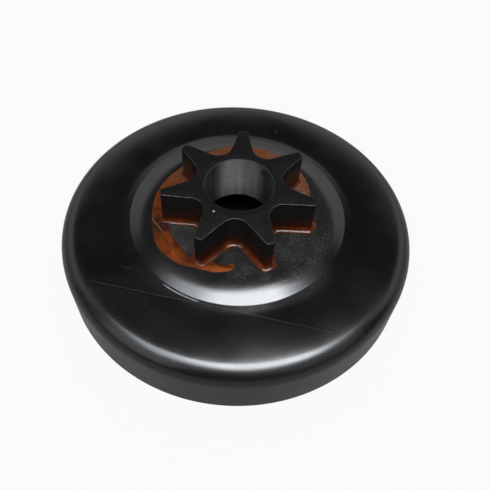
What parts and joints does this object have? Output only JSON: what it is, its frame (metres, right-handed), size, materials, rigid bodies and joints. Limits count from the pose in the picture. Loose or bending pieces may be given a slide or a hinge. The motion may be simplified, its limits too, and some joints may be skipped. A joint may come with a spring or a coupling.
{
  "type": "clutch drum",
  "caption": "Black drawn-steel clutch drum with a brazed star sprocket on its web and a plain bearing bore; clutch shoes grip its inside wall to drive a saw chain.",
  "frame": {"origin": "on the bore axis, in the plane of the open rim, which is the bottom centre as it lies", "axes": "+Z along the bore from the open rim to the sprocket, +Y towards the rear tooth"},
  "size_m": [0.086, 0.086, 0.0251],
  "materials": {
    "black_steel": "blackened and oiled, glossy",
    "sprocket_steel": "blackened, satin, with a bare turned bore",
    "copper": "furnace braze, smooth and slightly oxidised"
  },
  "bodies": {
    "root": {"drum_cup": "black_steel", "drive_sprocket": "sprocket_steel", "braze_copper": "copper"}
  },
  "joints": []
}
